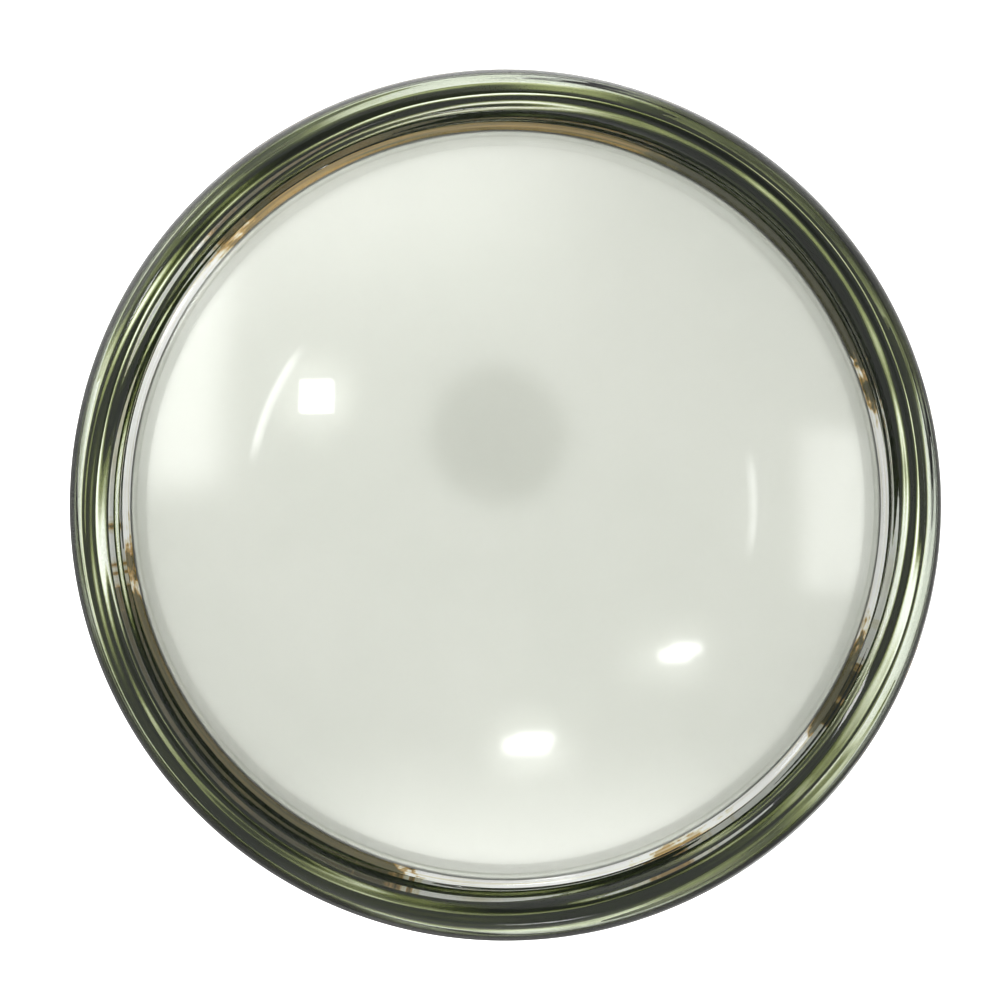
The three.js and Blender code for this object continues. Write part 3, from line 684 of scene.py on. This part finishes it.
fit(piece("channel_band", stainless, hoop, *band_ears), "mirror_head", "stainless_steel", "clamp_band")

ear_face = HALF_SPLIT + BAND_EAR_THICKNESS
band_bolt_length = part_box("band_bolt")[1].x + ear_face
across_band = (Matrix.Translation((0, rim_y - ear_bolt[0], ear_bolt[1]))
               @ Matrix.Rotation(math.radians(-90), 4, "Y"))
tightener = grown(
    bolt_tree, points_mesh([(0, 0, ear_face)]), Shank_Radius=0.0025, Shank_Length=band_bolt_length,
    Across_Flats=0.008, Head_Height=0.0035, Collar_Radius=0.0037, Collar_Height=0.0003, Thread_Length=0.024,
    Pitch=0.0008)
tightener.transform(across_band)
fit(piece("band_tightening_bolt", stainless, tightener), "mirror_head", "stainless_steel", "band_bolt")
band_nut = grown(nut_tree, points_mesh([(0, 0, 0)]), Across_Flats=0.008, Height=0.0045, Bore_Radius=0.0026,
                 Collar_Radius=0.003, Collar_Top=0.004)
band_nut.transform(across_band @ Matrix.Translation((0, 0, -ear_face)) @ over)
fit(piece("band_tightening_nut", stainless, band_nut), "mirror_head", "stainless_steel", "band_nut")


# ---- Gasket and cushion ----
# A black rubber channel is stretched over the lens's flange before the band goes on. Behind the flange a
# ring of grey sponge presses the lens and the silvered dish forward against it.

gasket_section = [
    (0.1413, -0.0042), (0.1413, -0.0017), (0.147, -0.0017), (0.147, -0.0118), (0.1373, -0.0118),
    (0.1373, -0.0098), (0.1448, -0.0098), (0.1448, -0.0042)]
gasket = turned(eased(gasket_section, 0.0007), at_rim, 240)
fit(piece("channel_gasket", rubber, gasket), "mirror_head", "black_rubber", "lens_gasket")

sponge, tree, shader = surface("grey sponge", Roughness=0.95)
pores = pattern(tree, "ShaderNodeTexVoronoi", 900)
tree.links.new(ramp(tree, pores.outputs["Distance"], (0.1, 0.02), (0.7, 0.09)), shader.inputs["Base Color"])
relief(tree, shader, pores.outputs["Distance"], 0.0003, 0.8)

cushion_section = [(0.1315, -0.0117), (0.1341, -0.0117), (0.1341, -0.0084), (0.1315, -0.0084)]
cushion = turned(eased(cushion_section, 0.0008), at_rim, 160)
fit(piece("sponge_cushion", sponge, cushion), "mirror_head", "foam", "cushion_ring")


# ---- Silvered dish ----
# A 1 mm spun aluminium dish that nests behind the glass dome. Its front is metallised and lacquered to a
# milky silver: it sends light back softly, so only the glass in front of it shows sharp reflections.

DOME_RADIUS = 0.219
GLASS = 0.005
DOME_FOOT = (0.1288, 0.0204)
dome_centre = DOME_FOOT[1] - math.sqrt(DOME_RADIUS ** 2 - DOME_FOOT[0] ** 2)


def dome_arc(sphere, edge, steps):
    """An arc of a sphere round the dome's centre, from the axis out to a radius."""
    angles = [math.asin(edge / sphere) * i / steps for i in range(steps + 1)]
    return [(sphere * math.sin(a), dome_centre + sphere * math.cos(a)) for a in angles]


silvering, tree, shader = surface("milky silvering", Metallic=0.15)
haze = pattern(tree, "ShaderNodeTexNoise", 14, Detail=5.0, Roughness=0.55)
tree.links.new(ramp(tree, haze.outputs["Fac"], (0.35, (0.887, 0.91, 0.83)), (0.65, (0.926, 0.945, 0.868))),
               shader.inputs["Base Color"])
tree.links.new(ramp(tree, haze.outputs["Fac"], (0.3, 0.28), (0.7, 0.34)), shader.inputs["Roughness"])

DISH_FRONT, DISH_BACK = DOME_RADIUS - GLASS - 0.0003, DOME_RADIUS - GLASS - 0.0013
skirt = [(0.1367, -0.0008), (0.1367, -0.008), (0.1357, -0.008), (0.1357, -0.0011)]
dish_section = dome_arc(DISH_FRONT, 0.127, 48) + skirt + dome_arc(DISH_BACK, 0.1262, 32)[::-1]
dish = turned(dish_section, at_rim, 224)
fit(piece("metallised_dish", silvering, dish, smooth_angle=25), "mirror_head", "silvering", "reflector_dish")


# ---- Glass lens ----
# One pressing of clear glass: a 5 mm dome that swells at its edge into a solid bead with faint mould ridges,
# and a neck and a flange for the gasket. The back of the edge is silvered and painted by brush round the
# ring. The bead shows that coat as long streaks, under the green of its own glass. The streaks are partly
# the coat's wear and partly painted reflections of the room, light and dark, brightest at left and right.

BEAD_CENTRE, BEAD_HALF = (0.13965, 0.013), (0.01035, 0.013)
BEAD_FROM, BEAD_TO, BEAD_STEPS = 148, -69.5, 90  # degrees round the bead's section
PAD_BACK = 0.0016  # how far the bead's back face lies behind the rim
NECK_INNER = 0.1385
WEDGE_TOP = (0.1275, 0.0152)  # where the back of the dome meets the back of the bead

glass, tree, shader = surface("clear green-edged glass", Transmission_Weight=1.0, IOR=1.5, Roughness=0.0)
tint = add(tree, "ShaderNodeVolumeAbsorption", {"Color": (0.64, 0.74, 0.55, 1), "Density": 6.0})
tree.links.new(tint.outputs[0], tree.nodes["Material Output"].inputs["Volume"])

bead_angles = [math.radians(BEAD_FROM - (BEAD_FROM - BEAD_TO) * i / BEAD_STEPS)
               for i in range(BEAD_STEPS + 1)]
bead_arc = [(BEAD_CENTRE[0] + BEAD_HALF[0] * math.cos(a), BEAD_CENTRE[1] + BEAD_HALF[1] * math.sin(a))
            for a in bead_angles]
lens_foot = [
    (0.14327, -PAD_BACK), (0.141, -PAD_BACK), (0.141, -0.0045), (0.1445, -0.0045),
    (0.1445, -LENS_FLANGE_BACK), (NECK_INNER, -LENS_FLANGE_BACK), (NECK_INNER, 0.0005)]
lens_section = (
    dome_arc(DOME_RADIUS, DOME_FOOT[0], 44) + bead_arc
    + eased([bead_arc[-1], *lens_foot, WEDGE_TOP], 0.0006, closed=False)[1:-1]
    + dome_arc(DOME_RADIUS - GLASS, WEDGE_TOP[0], 36)[::-1])
lens_mesh = turned(lens_section, at_rim, 400)


def brushed(name, **sockets):
    """A finish brushed on round the ring, with the coordinates and the heading that its streaks need."""
    paint, tree, shader = surface(name, **sockets)
    place = add(tree, "ShaderNodeSeparateXYZ", {0: add(tree, "ShaderNodeTexCoord").outputs["Object"]}).outputs
    flat = add(tree, "ShaderNodeCombineXYZ", {"X": place["X"], "Y": place["Z"]}).outputs[0]
    radius = add(tree, "ShaderNodeVectorMath", {0: flat}, operation="LENGTH").outputs["Value"]
    heading = add(tree, "ShaderNodeVectorMath", {0: flat}, operation="NORMALIZE").outputs["Vector"]
    return paint, tree, shader, place, radius, heading


def round_noise(tree, heading, across, around, rings, **inputs):
    """Noise drawn out along the ring: its waves are long round it and short across it."""
    stretched = add(
        tree, "ShaderNodeVectorMath", {0: heading, 1: (around, around, around)}, operation="MULTIPLY")
    depth = calc(tree, "MULTIPLY", across, rings)
    return add(tree, "ShaderNodeTexNoise", {"Vector": stretched.outputs["Vector"], "W": depth, "Scale": 1.0,
                                            **inputs}, noise_dimensions="4D").outputs["Fac"]


# How bright the paint is, from the bottom of the ring through its left, top and right: partly wear, and
# partly painted reflection of the room's windows, so that it is brightest at the left and right.
wear_and_painted_reflection = [(0.0, 0.45), (0.10, 0.1), (0.18, 0.25), (0.22, 1.15), (0.31, 1.1), (0.36, 0.4), (0.46, 0.75),
        (0.52, 0.9), (0.57, 0.15), (0.70, 0.05), (0.73, 1.2), (0.85, 1.1), (0.89, 0.3), (1.0, 0.45)]


def streaked(name, start, width, by_radius, dull, bright):
    """Paint streaked along the ring: partly a coat's wear, and partly painted reflections of the room, light
    and dark. Two lists say how silvery it is across its width, with wear and without.
    """
    paint, tree, shader, place, radius, heading = brushed(name, Roughness=0.25, **{"Specular IOR Level": 0.0})
    across = radius if by_radius else place["Y"]
    share = calc(tree, "DIVIDE", calc(tree, "SUBTRACT", across, start), width)
    wander = calc(tree, "MULTIPLY", calc(tree, "SUBTRACT", round_noise(
        tree, heading, across, 1.6, 200.0, Detail=2.0), 0.5), 0.5)
    line = calc(tree, "ADD", share, wander)
    bearing = calc(tree, "DIVIDE", calc(tree, "ARCTAN2", place["X"], place["Z"]), 2 * math.pi)
    kept = ramp(tree, calc(tree, "ADD", bearing, 0.5), *wear_and_painted_reflection)
    drift = calc(tree, "SUBTRACT", round_noise(tree, heading, across, 1.5, 40.0, Detail=1.0), 0.5)
    patches_and_painted_reflection = calc(tree, "ADD", kept, calc(tree, "MULTIPLY", drift, 1.2))
    coat = blended(tree, patches_and_painted_reflection, ramp(tree, line, *dull), ramp(tree, line, *bright))
    fine = ramp(tree, round_noise(tree, heading, across, 2.4, 2.2 / width, Detail=1.5),
                (0.36, 0.5), (0.62, 1.35))
    silver = calc(tree, "MULTIPLY", coat, fine)
    # Dark olive to near white: the coat's own colours and painted reflections of the room, light and dark.
    tree.links.new(ramp(tree, silver, (0.0, (0.006, 0.014, 0.0015)), (0.20, (0.058, 0.076, 0.016)),
                        (0.45, (0.27, 0.295, 0.13)), (0.75, (0.80, 0.83, 0.68)), (1.0, (0.98, 1.0, 0.96))),
                   shader.inputs["Base Color"])
    tree.links.new(ramp(tree, silver, (0.10, 0.0), (0.35, 1.0)), shader.inputs["Metallic"])
    return paint


lip_paint = streaked(
    "streaked edge paint", 0.1413, 0.0021, True,
    [(0.0, 0.05), (0.26, 0.08), (0.34, 0.55), (0.42, 0.22), (0.50, 0.0), (0.68, 0.02), (0.78, 0.35),
     (0.95, 0.18)],
    [(0.0, 0.55), (0.10, 0.12), (0.26, 0.05), (0.35, 0.95), (0.46, 0.45), (0.56, 0.02), (0.70, 0.08),
     (0.80, 0.95), (1.0, 1.0)])
neck_paint = streaked(
    "streaked neck paint", rim_y - 0.0005, 0.009, False,
    [(0.0, 0.35), (0.35, 0.5), (0.5, 0.3), (0.7, 0.55), (0.85, 0.3), (1.0, 0.4)],
    [(0.0, 0.8), (0.35, 1.0), (0.5, 0.5), (0.7, 1.0), (0.85, 0.8), (1.0, 1.0)])
foot_paint = streaked(
    "streaked foot paint", NECK_INNER, 0.006, True,
    [(0.0, 0.35), (0.1, 0.55), (0.25, 0.3), (0.4, 0.55), (0.6, 0.4)],
    [(0.0, 1.1), (0.1, 1.3), (0.25, 0.8), (0.4, 1.3), (0.6, 1.2)])

edge_silver_with_painted_reflection, tree, shader, place, radius, heading = brushed(
    "tarnished edge silvering", Metallic=0.3, Roughness=0.3)
# How whole the silvering is, in half turns from the top: left of it is below 0 and right of it above. Where
# it is whole it shows near white, a painted reflection of the windows in the bead's inner slope; between,
# the brown and dark olive are partly tarnish and partly painted dark reflection.
clean_and_painted_reflection = [(-1.0, 1.0), (-0.93, 1), (-0.90, 0.2), (-0.57, 0.25), (-0.53, 1.0), (-0.29, 1.0), (-0.24, 0.35),
         (0.10, 0.3), (0.17, 0.05), (0.39, 0.1), (0.43, 1.0), (0.60, 1.0), (0.64, 0.15), (0.68, 0.2),
         (0.70, 1.0), (0.82, 1.0), (0.85, 0.5), (0.875, 0.5), (0.90, 1.0)]
bearing = calc(tree, "DIVIDE", calc(tree, "ARCTAN2", place["X"], place["Z"]), 2 * math.pi)
blotches = pattern(tree, "ShaderNodeTexNoise", 85, Detail=5.0, Roughness=0.6).outputs["Fac"]
jog = calc(tree, "MULTIPLY", calc(tree, "SUBTRACT", blotches, 0.5), 0.12)
whole = ramp(tree, calc(tree, "ADD", calc(tree, "ADD", bearing, 0.5), jog),
             *[((at + 1) / 2, value) for at, value in clean_and_painted_reflection])
rubbed = ramp(tree, round_noise(tree, heading, place["Y"], 3.0, 900.0, Detail=3.0), (0.35, 0.7), (0.65, 1.3))
# Dark olive through tarnish brown to near white: real tarnish and painted reflections of the room.
tree.links.new(ramp(tree, calc(tree, "MULTIPLY", whole, rubbed), (0.0, (0.035, 0.042, 0.014)),
                    (0.25, (0.15, 0.13, 0.05)), (0.5, (0.55, 0.36, 0.12)), (0.7, (0.80, 0.76, 0.60)),
                    (1.0, (0.96, 0.96, 0.95))), shader.inputs["Base Color"])

# Each film is a line in the lens's section, a little inside the glass, with the way its back lies.
INSIDE, THICKNESS = 0.00003, 0.00002
behind_pad, behind_foot = INSIDE - PAD_BACK, INSIDE - LENS_FLANGE_BACK
# The silvering and paint films carry painted reflections of the room as well as their wear.
films = [
    ("edge_silvering", edge_silver_with_painted_reflection,
     [(NECK_INNER + 0.00002, 0.0007), (0.12765, WEDGE_TOP[1])], (-0.00003, -0.00003)),
    ("lip_silvering", edge_silver_with_painted_reflection, [(0.14285, behind_pad), (0.1432, behind_pad)], (0, -THICKNESS)),
    ("lip_paint", lip_paint, [(0.1411, behind_pad), (0.14284, behind_pad)], (0, -THICKNESS)),
    ("neck_paint", neck_paint,
     [(NECK_INNER + INSIDE, -0.0092), (NECK_INNER + INSIDE, 0.0001)], (-THICKNESS, 0)),
    ("foot_paint", foot_paint, [(0.1444, behind_foot), (NECK_INNER + 0.0001, behind_foot)], (0, -THICKNESS)),
]
for name, paint, line, back in films:
    section = line + [(r + back[0], f + back[1]) for r, f in line[::-1]]
    made = piece(name, paint, turned(section, at_rim, 256), smooth_angle=30)
    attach(made, "mirror_head")

RIDGE_HEIGHT = 0.00004
SUNK = 0.00015  # how far the whole bead is drawn in, so that no ridge stands proud of its true size
DOME_EDGE, FACE_LOW = 0.124, 0.001  # only the bead in front of the rim has ridges
for vertex in lens_mesh.vertices:
    radius, forward = math.hypot(vertex.co.x, vertex.co.z), rim_y - vertex.co.y
    if radius < DOME_EDGE or forward < FACE_LOW:
        continue
    around = math.atan2(vertex.co.x, vertex.co.z)
    section = math.atan2(forward - BEAD_CENTRE[1], radius - BEAD_CENTRE[0])
    wide, fine = 2 * math.sin(around + 0.6), 3 * math.sin(2 * around)
    ridge = math.sin(9 * section + wide) + 0.6 * math.sin(17 * section + fine)
    dip = RIDGE_HEIGHT * ridge - SUNK
    vertex.co += Vector((vertex.co.x, 0, vertex.co.z)).normalized() * dip * math.cos(section)
    vertex.co.y -= dip * math.sin(section)
fit(piece("domed_lens", glass, lens_mesh, smooth_angle=30), "mirror_head", "clear_glass", "glass_lens")


# ---- Studio ----
# A pale floor in a white room. The room is drawn in the world's light, with no lamps: an even glow, soft
# windows, two thin arcs and a dim disc, each placed by the part of the dome that shows it. Behind the
# object it is white.

paper, tree, shader = surface("pale studio floor", Roughness=0.9)
fibres = pattern(tree, "ShaderNodeTexNoise", 8, Detail=4.0)
tree.links.new(ramp(tree, fibres.outputs["Fac"], (0.3, 0.82), (0.7, 0.86)), shader.inputs["Base Color"])
FLOOR_Z, FLOOR_HALF = -1.3, 5.0
floor_mesh = bpy.data.meshes.new("floor")
floor_outline = rounded_rectangle(2 * FLOOR_HALF, 2 * FLOOR_HALF, 0.5, 4)
floor_mesh.from_pydata([(x, y, FLOOR_Z) for x, y in floor_outline], [], [list(range(20))])
floor = piece("floor", paper, floor_mesh)
floor.visible_diffuse = floor.visible_glossy = floor.visible_transmission = False

world = bpy.data.worlds.new("white room")
world.use_nodes = True
bpy.context.scene.world = world
bpy.context.scene.view_settings.view_transform = "Standard"
bpy.context.scene.view_settings.look = "High Contrast"

CAMERA_DISTANCE = 1.05
VIEW_WIDTH = 0.3 / 0.872  # the width of the view at the bead
SENSOR = 36
lens_data = bpy.data.cameras.new("camera")
camera = bpy.data.objects.new("camera", lens_data)
bpy.context.scene.collection.objects.link(camera)
bead_crest_y = rim_y - BEAD_CENTRE[1]
camera.location = (0, bead_crest_y - CAMERA_DISTANCE, 0)
camera.rotation_euler = (math.radians(90), 0, 0)
lens_data.sensor_width = SENSOR
lens_data.lens = SENSOR * CAMERA_DISTANCE / VIEW_WIDTH
lens_data.shift_x, lens_data.shift_y = -0.0055, 0.005
bpy.context.scene.camera = camera

# The room is laid out as an all-round map: how far a direction turns from straight ahead, in radians, on
# the heading that it turns to. A place on the dome shows the map at ROOM_TURN times the dome's slope there.
ROOM_TURN = 2.2
sky = world.node_tree
ray = add(sky, "ShaderNodeSeparateXYZ", {0: add(sky, "ShaderNodeTexCoord").outputs["Generated"]}).outputs
turn = calc(sky, "ARCCOSINE", calc(sky, "MULTIPLY", ray["Y"], -1.0))
aside = add(sky, "ShaderNodeCombineXYZ", {"X": ray["X"], "Z": ray["Z"]}).outputs[0]
sideways = add(sky, "ShaderNodeVectorMath", {0: aside}, operation="NORMALIZE").outputs["Vector"]
room = add(sky, "ShaderNodeSeparateXYZ", {0: add(
    sky, "ShaderNodeVectorMath", {0: sideways, "Scale": turn}, operation="SCALE").outputs["Vector"]}).outputs


def within(value, middle, half, soft):
    """1 where a value is within a range, falling smoothly to 0 outside it."""
    off = calc(sky, "ABSOLUTE", calc(sky, "SUBTRACT", value, middle))
    return add(sky, "ShaderNodeMapRange", {"Value": off, "From Min": half + soft, "From Max": half - soft},
               interpolation_type="SMOOTHSTEP").outputs["Result"]


def on_map(across, up):
    """The place in the room that the dome shows at a place across and up from its crown."""
    reach = math.hypot(across, up)
    stretch = ROOM_TURN * math.asin(min(1.0, reach / DOME_RADIUS)) / reach
    return across * stretch, up * stretch, stretch


RAMP_SCALE = 0.3  # brings a turn in radians within a ramp's reach
light = ramp(sky, calc(sky, "MULTIPLY", turn, RAMP_SCALE),
             (0.0, 1.0), (0.14, 1.0), (0.24, 0.95), (0.40, 0.92), (0.50, 0.36))
behind = ramp(sky, ray["Y"], (0.0, 0.0), (0.5, 1.0))
overhead = ramp(sky, ray["Z"], (0.1, 0.0), (0.95, 0.9))
light = calc(sky, "ADD", light, calc(sky, "MULTIPLY", behind, overhead))

# Left, right, low and high edge on the dome, how soft the edge is, and how bright the window is.
windows = [
    (-0.126, -0.094, 0.006, 0.100, 0.010, 0.95), (0.099, 0.132, -0.029, 0.026, 0.006, 0.7),
    (-0.069, -0.058, 0.031, 0.042, 0.0008, 7.0),
    (0.000, 0.014, -0.0830, -0.0790, 0.0032, 6.0), (0.004, 0.016, -0.0800, -0.0770, 0.0028, 4.0),
    (-0.004, 0.022, -0.090, -0.078, 0.008, 0.45),
    (0.052, 0.062, -0.0520, -0.0490, 0.0028, 6.0), (0.056, 0.066, -0.0500, -0.0465, 0.0024, 4.0),
    (0.040, 0.066, -0.058, -0.048, 0.008, 0.35),
    (-0.110, 0.015, 0.070, 0.150, 0.035, 0.5), (-0.060, 0.080, -0.150, -0.100, 0.030, 0.9)]
for left, right, low, high, soft, radiance in windows:
    across, up, stretch = on_map((left + right) / 2, (low + high) / 2)
    wide = within(room["X"], across, (right - left) / 2 * stretch, soft * stretch)
    tall = within(room["Z"], up, (high - low) / 2 * stretch, soft * stretch)
    light = calc(sky, "ADD", light, calc(sky, "MULTIPLY", calc(sky, "MULTIPLY", wide, tall), radiance))

# Each arc's first and last bearing in degrees, its distance from the crown, and how bright it is.
ARC_HALF, ARC_FADE = 0.0008, 4
heading = calc(sky, "ARCTAN2", room["X"], room["Z"])
for low, high, reach, glow in ((-82, -50, 0.0865, 3.0), (76, 104, 0.0835, 1.8)):
    reach, _, stretch = on_map(reach, 0)
    along = within(heading, math.radians((low + high) / 2), math.radians((high - low) / 2 - ARC_FADE),
                   math.radians(ARC_FADE))
    arc = calc(sky, "MULTIPLY", within(turn, reach, ARC_HALF * stretch, ARC_HALF * stretch), along)
    light = calc(sky, "ADD", light, calc(sky, "MULTIPLY", arc, glow))

DISC_PLACE, DISC_RADIUS, DISC_EDGE, DISC_DIMMING = (-0.0024, 0.0234), 0.023, 0.005, 0.5
BACKDROP, STRENGTH = (1.1, 1.1, 1.1, 1), 1.33
across, up, stretch = on_map(*DISC_PLACE)
on_wall = add(sky, "ShaderNodeCombineXYZ", {"X": room["X"], "Y": room["Z"]}).outputs[0]
away = add(sky, "ShaderNodeVectorMath", {0: on_wall, 1: (across, up, 0)}, operation="DISTANCE")
disc = within(away.outputs["Value"], 0.0, DISC_RADIUS * stretch, DISC_EDGE * stretch)
light = calc(sky, "MULTIPLY", light, calc(sky, "SUBTRACT", 1.0, calc(sky, "MULTIPLY", disc, DISC_DIMMING)))
seen = add(sky, "ShaderNodeLightPath").outputs["Is Camera Ray"]
sky.links.new(blended(sky, seen, light, BACKDROP), sky.nodes["Background"].inputs["Color"])
sky.nodes["Background"].inputs["Strength"].default_value = STRENGTH
